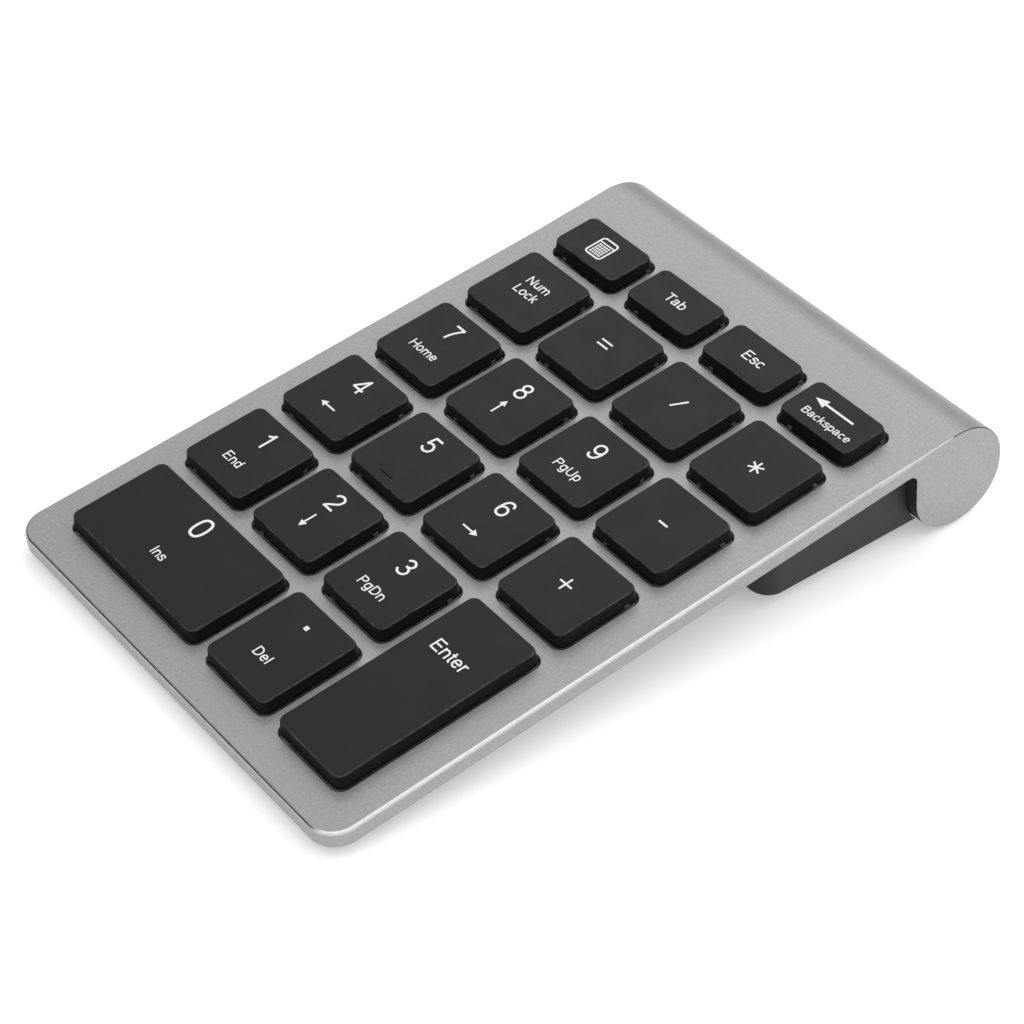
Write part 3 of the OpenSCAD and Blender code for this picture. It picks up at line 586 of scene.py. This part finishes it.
# ------------------------------------------------------------------ flat shapes
def ribbon(points, width):
    """The triangles of a line drawn with a flat pen, mitred at its corners."""
    points = np.array(points, float)
    path = [points[0]]
    for point in points[1:]:
        if np.linalg.norm(point - path[-1]) > 1e-4:
            path.append(point)
    closed = np.linalg.norm(path[0] - path[-1]) < 1e-3 and len(path) > 4
    if closed:
        path = path[:-1]
    count = len(path)

    def normal(step):
        step = step / np.linalg.norm(step)
        return np.array((-step[1], step[0]))

    left, right = [], []
    for i in range(count):
        if closed:
            before, after = path[i] - path[i - 1], path[(i + 1) % count] - path[i]
        else:
            before = path[i] - path[i - 1] if i else path[1] - path[0]
            after = path[i + 1] - path[i] if i < count - 1 else before
        mitre = normal(before) + normal(after)
        length = np.linalg.norm(mitre)
        mitre = normal(before) if length < 1e-6 else mitre / length
        reach = min(1.6, 1.0 / max(0.3, float(mitre @ normal(before))))
        left.append(path[i] + mitre * width / 2 * reach)
        right.append(path[i] - mitre * width / 2 * reach)
    triangles = []
    for i in range(count if closed else count - 1):
        j = (i + 1) % count
        triangles += [[left[i], right[i], right[j]], [left[i], right[j], left[j]]]
    return triangles


def area(poly):
    return sum(poly[i - 1][0] * poly[i][1] - poly[i][0] * poly[i - 1][1]
               for i in range(len(poly))) / 2


def fuse(polys):
    """The vertices and triangles of the union of some simple polygons."""
    verts, faces = [], []
    for poly in polys:
        if abs(area(poly)) < 1e-7:
            continue
        if area(poly) < 0:
            poly = poly[::-1]
        faces.append(list(range(len(verts), len(verts) + len(poly))))
        verts += [Vector((float(p[0]), float(p[1]))) for p in poly]
    points, _, triangles, _, _, origins = delaunay_2d_cdt(verts, [], faces, 0, 1e-5, True)
    return points, [triangle for triangle, origin in zip(triangles, origins) if origin]


def moved(polys, x, y, turn=0.0):
    """The polygons turned by `turn` degrees about the origin, then shifted."""
    cosine, sine = math.cos(math.radians(turn)), math.sin(math.radians(turn))
    return [[(p[0] * cosine - p[1] * sine + x, p[0] * sine + p[1] * cosine + y) for p in poly]
            for poly in polys]


def round_box(left, bottom, right, top, radius, steps):
    """A rounded outline; the first four values place the centres of its corners."""
    return [(x + radius * math.cos(math.radians(start + 90 * i / steps)),
             y + radius * math.sin(math.radians(start + 90 * i / steps)))
            for x, y, start in ((right, top, 0), (left, top, 90),
                                (left, bottom, 180), (right, bottom, 270))
            for i in range(steps + 1)]


# ------------------------------------------------------------------ legends
# Each is placed in millimetres from its key's centre; `cap` is the capital height and
# `pen` the stroke width as a share of it.
def word(text, x, y, cap=1.80, pen=0.130):
    total = sum(GLYPHS[char][0] for char in text)
    cursor, polys = 0.0, []
    for char in text:
        advance, strokes = GLYPHS[char]
        for stroke in strokes:
            path = [(px + cursor - total / 2, py - 0.5) for px, py in stroke]
            polys += [[point * cap for point in poly] for poly in ribbon(path, pen)]
        cursor += advance
    return moved(polys, x, y)


def number(text, x, y, cap=3.68, pen=0.112):
    return word(text, x, y, cap, pen)


def stroke_at(x, y, half_x, half_y, width):
    """A straight stroke centred on x, y."""
    return moved(ribbon([(-half_x, -half_y), (half_x, half_y)], width), x, y)


def arrow(x, y, turn, length=3.5, head=1.2, head_width=1.4, shaft=0.32):
    """An arrow centred on x, y, pointing right before its turn."""
    tip = length / 2
    polys = ribbon([(-tip, 0), (tip - head * 0.8, 0)], shaft)
    polys.append([(tip, 0.0), (tip - head, head_width / 2), (tip - head, -head_width / 2)])
    return moved(polys, x, y, turn)


def calculator_icon(x, y):
    """A rounded frame, a line under its display and a grid of buttons."""
    right, top, corner = 3.75 / 2, 4.6 / 2, 0.65
    outline = round_box(-right + corner, -top + corner, right - corner, top - corner, corner, 5)
    polys = ribbon(outline + [outline[0]], 0.34)
    polys += ribbon(bar(-right, right, 1.22), 0.26)
    pitch, half, rounding = 0.56, 0.2, 0.06
    for i in range(5):
        for j in range(5):
            bx, by = -1.12 + pitch * i, 0.62 - pitch * j
            polys.append(round_box(bx - half + rounding, by - half + rounding,
                                   bx + half - rounding, by + half - rounding, rounding, 2))
    return moved(polys, x, y)


def star(x, y, radius=1.37, width=0.34):
    polys = []
    for k in range(3):
        angle = math.radians(90 + 60 * k)
        polys += stroke_at(x, y, radius * math.cos(angle), radius * math.sin(angle), width)
    return polys


POINT = [(-0.72, 4.43), (0.08, 4.43), (0.08, 5.23), (-0.72, 5.23)]  # the decimal point

LEGENDS = {
    "0": number("0", -0.29, 4.84, cap=4.45, pen=0.108) + word("Ins", -0.30, -3.06),
    "1": number("1", -0.10, 3.55) + word("End", -0.31, -2.79),
    "2": number("2", -0.11, 3.55) + arrow(-0.08, -1.97, turn=-90),
    "3": number("3", -0.25, 3.39) + word("PgDn", -0.34, -3.10),
    "4": number("4", -0.12, 3.45) + arrow(-0.21, -3.3, turn=180),
    "5": number("5", -0.22, 3.38),
    "6": number("6", 0.01, 3.24) + arrow(-0.08, -3.59, turn=0),
    "7": number("7", -0.07, 3.32) + word("Home", -0.27, -2.72),
    "8": number("8", 0.0, 2.96) + arrow(-0.04, -2.03, turn=90),
    "9": number("9", -0.03, 2.84) + word("PgUp", -0.13, -3.11),
    "num_lock": (word("Num", 0.20, 2.20, cap=1.90, pen=0.134)
                 + word("Lock", 0.16, -0.60, cap=1.90, pen=0.134)),
    "equals": stroke_at(0.04, 1.50, 1.3, 0, 0.36) + stroke_at(0.04, 0.36, 1.3, 0, 0.36),
    "divide": stroke_at(0.24, 0.47, 0.78, 1.36, 0.36),
    "multiply": star(0.43, -0.27),
    "minus": stroke_at(0.03, 0.12, 1.0, 0, 0.38),
    "plus": stroke_at(-0.17, 0.12, 1.35, 0, 0.34) + stroke_at(-0.17, 0.12, 0, 1.35, 0.34),
    "enter": word("Enter", -0.39, 8.06, cap=2.36),
    "decimal": [POINT] + word("Del", -0.37, -3.1, cap=1.82),
    "tab": word("Tab", 0.08, 0.1, cap=2.0),
    "escape": word("Esc", 0.52, 0.0, cap=2.08),
    "backspace": (arrow(-0.75, 1.15, turn=180, length=8.6, head=2.4, head_width=1.9, shaft=0.42)
                  + word("Backspace", 0.64, -1.86, cap=1.58, pen=0.135)),
    "calculator": calculator_icon(-0.02, -0.17),
}


# ------------------------------------------------------------------ solids in the panel frame
def add_ring(bm, centre, half, radius, z, steps=7):
    """A rounded rectangle of vertices at one height."""
    radius = max(0.05, min(radius, half[0] - 0.01, half[1] - 0.01))
    (x, y), reach_x, reach_y = centre, half[0] - radius, half[1] - radius
    outline = round_box(x - reach_x, y - reach_y, x + reach_x, y + reach_y, radius, steps)
    return [bm.verts.new(PANEL @ Vector((px, py, z))) for px, py in outline]


def bridge(bm, lower, upper, slot=0):
    made = []
    for i in range(len(lower)):
        j = (i + 1) % len(lower)
        face = bm.faces.new((lower[i], lower[j], upper[j], upper[i]))
        face.material_index = slot
        made.append(face)
    return made


def add_prism(bm, points, faces, centre, bottom, top, slot):
    """Closed thin solid from flat triangles."""
    above, below = ([bm.verts.new(PANEL @ Vector((centre[0] + p[0], centre[1] + p[1], z)))
                     for p in points] for z in (top, bottom))
    edges = {}
    for face in faces:
        for i in range(len(face)):
            edge = (face[i - 1], face[i])
            edges.setdefault(frozenset(edge), []).append(edge)
    for face in faces:
        try:
            bm.faces.new([above[i] for i in face]).material_index = slot
            bm.faces.new([below[i] for i in reversed(face)]).material_index = slot
        except ValueError:  # a triangle that is already there
            pass
    for uses in edges.values():
        if len(uses) == 1:  # an edge of the outline gets a wall
            a, b = uses[0]
            bm.faces.new((below[a], below[b], above[b], above[a])).material_index = slot


def add_block(bm, low, high, slot=0, place=Matrix.Identity(4)):
    corners = [bm.verts.new(PANEL @ (place @ Vector((x, y, z))))
               for x in (low[0], high[0]) for y in (low[1], high[1]) for z in (low[2], high[2])]
    for face in ((0, 1, 3, 2), (4, 6, 7, 5), (0, 4, 5, 1), (2, 3, 7, 6), (0, 2, 6, 4),
                 (1, 5, 7, 3)):
        bm.faces.new([corners[i] for i in face]).material_index = slot


def add_round(bm, x, y, bottom, top, radius, steps, slot=0, chamfer=0.0):
    """An upright cylinder, chamfered at its foot if asked."""
    levels = [(bottom, radius), (top, radius)]
    if chamfer:
        levels = [(bottom, radius - chamfer), (bottom + chamfer, radius), (top, radius)]
    angles = [2 * math.pi * i / steps for i in range(steps)]
    rings = [[bm.verts.new(PANEL @ Vector((x + r * math.cos(a), y + r * math.sin(a), z)))
              for a in angles] for z, r in levels]
    for lower, upper in zip(rings, rings[1:]):
        bridge(bm, lower, upper, slot)
    bm.faces.new(rings[0][::-1]).material_index = slot
    bm.faces.new(rings[-1]).material_index = slot


# ------------------------------------------------------------------ key caps
KEY_BOX = {node.removeprefix("keycap_"): panel_box(node)
           for node in sorted(nodes) if node.startswith("keycap_")}
CAP_TOP = min(high[2] for low, high in KEY_BOX.values())
CAP_FOOT = min(low[2] for low, high in KEY_BOX.values())
CEILING = CAP_TOP - 1.0  # underside of the cap's top
ROOT = CEILING + 0.2  # pieces under the cap reach this far into it
KEY_MATERIALS = ["black_key", "legend_white", "pip_grey", "gate_mark_and_dark_edge"]
LEGEND_SLOT, PIP_SLOT, GATE_SLOT = 1, 2, 3

SHORT_HALF = 6  # a key with less half depth than this is a short one
FOOT_FLARE = 0.12
FOOT_INSET, FOOT_RISE = 0.08, 0.1  # chamfer round the foot
SKIRT_RADIUS, RADIUS_FALL = 1.6, 0.2  # corner radius at the foot, and its loss to the brow
RIM = 0.24  # rounding between the side and the top


def grown(half, by):
    return half[0] + by, half[1] + by


def cap_shell(bm, centre, half):
    foot = grown(half, FOOT_FLARE)
    brow = (half[0] - 0.05, half[1] - (0.45 if half[1] < SHORT_HALF else 0.15))
    side_top = CAP_TOP - RIM
    # outside, from the foot up to the rounded rim and over to the flat top
    rings = [add_ring(bm, centre, grown(foot, -FOOT_INSET), SKIRT_RADIUS - FOOT_INSET, CAP_FOOT),
             add_ring(bm, centre, foot, SKIRT_RADIUS, CAP_FOOT + FOOT_RISE)]
    for u in (0.35, 0.7, 1.0):
        between = (foot[0] + (brow[0] - foot[0]) * u, foot[1] + (brow[1] - foot[1]) * u)
        rings.append(add_ring(bm, centre, between, SKIRT_RADIUS - RADIUS_FALL * u,
                              CAP_FOOT + FOOT_RISE + (side_top - CAP_FOOT - FOOT_RISE) * u))
    for degrees in (15, 30, 45, 60, 75, 90):
        angle = math.radians(degrees)
        back = RIM * (1 - math.cos(angle))
        rings.append(add_ring(bm, centre, grown(brow, -back),
                              SKIRT_RADIUS - RADIUS_FALL - back * 0.8,
                              side_top + RIM * math.sin(angle)))
    rings.append(add_ring(bm, centre, grown(brow, -RIM - 0.25), 1.0, CAP_TOP))
    wear_or_highlight = bm.loops.layers.float.new("wear_or_highlight")
    # the rounded rim is marked here for the key material's painted highlight line
    for i, (lower, upper) in enumerate(zip(rings, rings[1:])):
        for face in bridge(bm, lower, upper):
            for corner in face.loops:
                corner[wear_or_highlight] = 1.0 if 5 <= i <= 9 else 0.0  # the rounded rim
    bm.faces.new(rings[-1])
    # inside of the skirt and the ceiling
    inner = [add_ring(bm, centre, grown(foot, -0.95), 1.0, CAP_FOOT),
             add_ring(bm, centre, grown(half, -1.05), 0.9, CEILING - 0.25),
             add_ring(bm, centre, grown(half, -1.3), 0.75, CEILING)]
    bridge(bm, inner[0], rings[0])
    for lower, upper in zip(inner, inner[1:]):
        bridge(bm, upper, lower)
    bm.faces.new(inner[-1][::-1])


def cap_underside(bm, centre, half):
    """Plunger, link clips and, on long keys, stabilizer clips."""
    for drop, radius, chamfer in ((0.38, 1.5, 0.12), (0.25, 2.3, 0.1)):
        add_round(bm, *centre, CEILING - drop, ROOT, radius, steps=24, chamfer=chamfer)
    quarter = 90 if half[1] > half[0] * 1.3 else 0
    place = (Matrix.Translation((*centre, 0))
             @ Matrix.Rotation(math.radians(quarter), 4, "Z"))
    reach = 3.15 if half[1] < SHORT_HALF else 4.6
    clip = 0.5  # half width of a clip
    for x in (-3, 3):
        for sign in (1, -1):
            flipped = place @ Matrix.Diagonal((sign, sign, 1, 1))
            for near, far, drop in ((0.44, 0.86, 1.15), (-0.75, -0.46, 0.85)):
                add_block(bm, (x - clip, reach + near, CEILING - drop),
                          (x + clip, reach + far, ROOT), place=flipped)
    if max(half) > 12:
        for x in (-13.3, 13.3):
            for near, far in ((-2.85, -2.52), (-1.18, -0.85)):
                add_block(bm, (x - clip, near, 0.1), (x + clip, far, ROOT), place=place)


def homing_bar(bm, centre):
    """A low ridge with round ends and a rounded crest."""
    levels = ((-0.1, 1.5, 0.17), (0.12, 1.46, 0.14), (0.18, 1.40, 0.08))  # rise, half sizes
    rings = [add_ring(bm, (centre[0], centre[1] - 5.7), (half_x, half_y), half_y - 0.01,
                      CAP_TOP + rise, steps=4) for rise, half_x, half_y in levels]
    for lower, upper in zip(rings, rings[1:]):
        bridge(bm, lower, upper)
    bm.faces.new(rings[-1])
    bm.faces.new(rings[0][::-1])


def moulding_pips(bm, centre, half):
    """Pips low on the front and right of the skirt."""
    bottom, top, proud, sunk = 0.22, 0.66, 0.17, 0.3
    x, front = centre[0], centre[1] - half[1]
    add_block(bm, (x - 4.75, front - proud, bottom), (x - 3.95, front + sunk, top), PIP_SLOT)
    right, y = x + half[0], centre[1] + half[1] * 0.66
    add_block(bm, (right - sunk, y - 0.4, bottom), (right + proud, y + 0.4, top), PIP_SLOT)


def keycap(key):
    low, high = KEY_BOX[key]
    centre = ((low[0] + high[0]) / 2, (low[1] + high[1]) / 2)
    half = ((high[0] - low[0]) / 2, (high[1] - low[1]) / 2)
    bm = bmesh.new()
    cap_shell(bm, centre, half)
    cap_underside(bm, centre, half)
    if key == "5":
        homing_bar(bm, centre)
    if key not in ("0", "decimal", "enter"):
        moulding_pips(bm, centre, half)
    if key in ("calculator", "tab"):  # gate mark in the rear left corner
        add_round(bm, centre[0] - half[0] + 0.72, centre[1] + half[1] - 1.6,
                  CAP_TOP - 0.1, CAP_TOP + 0.03, radius=0.3, steps=14, slot=GATE_SLOT)
    if key in LEGENDS:
        points, faces = fuse(LEGENDS[key])
        add_prism(bm, points, faces, centre, CAP_TOP - 0.06, CAP_TOP + 0.018, LEGEND_SLOT)
    finish_mesh(bm, "cap_" + key, "key_" + key, "keycap_" + key, KEY_MATERIALS, angle=40)


for key in KEY_BOX:
    keycap(key)


# ------------------------------------------------------------------ casing
def top_shell():
    """The silver panel and tube, with a bright cut edge round the panel."""
    paint, cut, dark, painted_dark_edge = range(4)
    bm = copy_of("top_case")
    bm.normal_update()
    flat = TURN.inverted().to_3x3()

    def placed_faces():
        """Each face with its normal and centre in the panel frame."""
        for face in bm.faces:
            yield face, flat @ face.normal, UNPANEL @ face.calc_center_median()

    def on_rim(centre):
        return -0.6 < centre.z < 0.05 and (abs(centre.x) > 37.5 or centre.y < -59.7)

    for face, normal, centre in placed_faces():
        # the cut edge: faces at 45 degrees along the panel's upper outline
        if 0.6 < normal.z < 0.8 and on_rim(centre):
            face.material_index = cut
        # painted shade: the tube's front wall, under the panel, gets the dark case material, standing in for the
        # shade there
        if normal.y < -0.04 and centre.y > 46 and centre.z < -3.3 and abs(normal.x) < 0.9:
            face.material_index = dark
    soften(bm, width_mm=0.10, segments=2, angle=28, clamp=False,
           keep=lambda edge: all(face.material_index != cut for face in edge.link_faces))
    for face, normal, centre in placed_faces():
        # painted shade: the softened edge between the tube and its end is painted near-black, as the dark line
        # that edge shows there
        if (abs(centre.x) > 42.86 and centre.y > 55 and centre.z > -9
                and 0.25 < abs(normal.x) < 0.97):
            face.material_index = painted_dark_edge

    def borders_cut(edge):
        marks = [face.material_index == cut for face in edge.link_faces]
        return sum(marks) == 1 and max((UNPANEL @ v.co).y for v in edge.verts) < 43.0

    soften(bm, width_mm=0.20, segments=3, angle=28, clamp=False, keep=borders_cut)
    bm.normal_update()
    for face, normal, centre in placed_faces():
        outer = (abs(centre.x) > 42.2 or centre.y < -57.9) and centre.y < 56
        if face.material_index in (paint, cut) and on_rim(centre) and outer:
            face.material_index = cut if 0.42 < normal.z < 0.95 else paint
    finish_mesh(bm, "top_shell", "case", "top_case",
                ["silver_paint", "silver_cut_edge", "dark_case", "gate_mark_and_dark_edge"], angle=30)


top_shell()

SOFTENED = (  # node, new name, rounding in mm, segments
    ("bottom_case", "bottom_shell", 0.14, 2),
    ("rubber_feet", "feet", 0.35, 3),
    ("case_screws", "screws", 0.06, 1),
    ("battery_cap", "battery_lid", 0.12, 2),
    ("power_switch_knob", "switch_slider", 0.10, 2),
    ("power_switch_body", "switch_can", 0.08, 1),
    ("battery", "dry_cell", 0.25, 2),
    ("circuit_board", "pcb", 0.04, 1),
)
for node, name, width_mm, segments in SOFTENED:
    bm = copy_of(node)
    soften(bm, width_mm, segments)
    finish_mesh(bm, name, BODY_OF[node], node, [SLOT_OF[node]])

# ------------------------------------------------------------------ soft pieces
DOME_REACH = 4.0  # a key's dome lies within this distance of its centre


def squashed(bm, name, source, material, key):
    """A piece under its key, with a mesh of its own."""
    ob = finish_mesh(bm, name, "case", source, [material], weighted=False)
    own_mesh(ob)


def far_from(vert, x, y):
    point = UNPANEL @ vert.co
    return math.hypot(point.x - x, point.y - y) > DOME_REACH


for key, (low, high) in KEY_BOX.items():
    x, y = (low[0] + high[0]) / 2, (low[1] + high[1]) / 2
    bm = copy_of("scissor_" + key)
    soften(bm, width_mm=0.06, segments=1, angle=35)
    squashed(bm, "links_" + key, "scissor_" + key, "link_plastic", key)
    bm = copy_of("rubber_domes")
    bmesh.ops.delete(bm, geom=[v for v in bm.verts if far_from(v, x, y)], context="VERTS")
    squashed(bm, "dome_" + key, "rubber_domes", "dome_rubber", key)


# ------------------------------------------------------------------ stage, light and camera
def floor():
    bm = bmesh.new()
    bmesh.ops.create_grid(bm, x_segments=2, y_segments=2, size=3.0)
    mesh = bpy.data.meshes.new("floor")
    bm.to_mesh(mesh)
    bm.free()
    ob = bpy.data.objects.new("floor", mesh)
    scene.collection.objects.link(ob)
    new_material("floor").surface(
        Base_Color=(0.86, 0.86, 0.86), Roughness=0.9, Specular_IOR_Level=0.1,
        Emission_Color=(1, 1, 1), Emission_Strength=0.31)
    mesh.materials.append(MATERIALS["floor"])


def tent():
    """A white tent of light, as the world."""
    world = bpy.data.worlds.new("studio")
    scene.world = world
    world.use_nodes = True
    look = Look(world.node_tree)
    x, y, z = look.add("SeparateXYZ", {0: look.coords["Generated"]}).outputs

    def smooth(value, over, to):
        return look.remap(value, to, over, shape="SMOOTHSTEP")

    # a dark card low on the left, hidden from camera rays
    card = look.times(smooth(x, over=(-0.55, -0.25), to=(1.0, 0.0)),
                      smooth(z, over=(0.24, 0.50), to=(1.0, 0.0)))
    unseen = look.without(look.add("LightPath").outputs["Is Camera Ray"])
    card = look.times(card, unseen)
    # the tent is brighter overhead, and falls off towards the front on the left
    roof = smooth(z, over=(0.40, 0.85), to=(1.0, 1.43))
    dimming = look.times(smooth(x, over=(-0.40, -0.10), to=(1.0, 0.0)),
                         smooth(y, over=(0.05, 0.42), to=(0.60, 0.0)))
    level = look.times(roof, look.without(look.times(dimming, unseen)))
    background = look.tree.nodes["Background"].inputs
    look.feed(background["Strength"], look.times(level, look.without(look.times(card, 0.99))))
    look.feed(background["Color"], (1.0, 1.0, 1.0))


def lamp(name, size, energy, place, aim):
    light = bpy.data.lights.new(name, "AREA")
    light.shape = "RECTANGLE"
    light.size = light.size_y = size
    light.energy = energy
    ob = bpy.data.objects.new(name, light)
    ob.location = place
    ob.rotation_mode = "QUATERNION"
    ob.rotation_quaternion = (Vector(aim) - Vector(place)).to_track_quat("-Z", "Y")
    scene.collection.objects.link(ob)


def camera(azimuth, elevation, roll, origin):
    """Angles in degrees; `origin` is the panel's origin in camera axes, in mm."""
    azimuth, elevation, roll = map(math.radians, (azimuth, elevation, roll))
    back = Vector((math.sin(azimuth) * math.cos(elevation),
                   -math.cos(azimuth) * math.cos(elevation), math.sin(elevation)))
    level = Vector((math.cos(azimuth), math.sin(azimuth), 0))
    upright = back.cross(level)
    right = level * math.cos(roll) - upright * math.sin(roll)
    up = level * math.sin(roll) + upright * math.cos(roll)
    place = -(right * origin[0] + up * origin[1] + back * origin[2])
    data = bpy.data.cameras.new("camera")
    data.sensor_width = 36
    data.lens = 99.2260547
    data.clip_start, data.clip_end = 0.01, 20
    ob = bpy.data.objects.new("camera", data)
    basis = Matrix((right, up, back)).transposed().to_4x4()
    ob.matrix_world = Matrix.Translation(PANEL @ place) @ TURN @ basis
    scene.collection.objects.link(ob)
    scene.camera = ob


floor()
tent()
lamp("rear left", size=0.5, energy=0.46, place=(-0.42, 0.34, 0.52), aim=(0, 0, 0.01))
camera(azimuth=56.208, elevation=44.778, roll=6.277, origin=(-1.823, 6.673, -446.438))
scene.view_settings.view_transform = "Standard"
scene.view_settings.look = "None"
scene.view_settings.exposure = 0.0
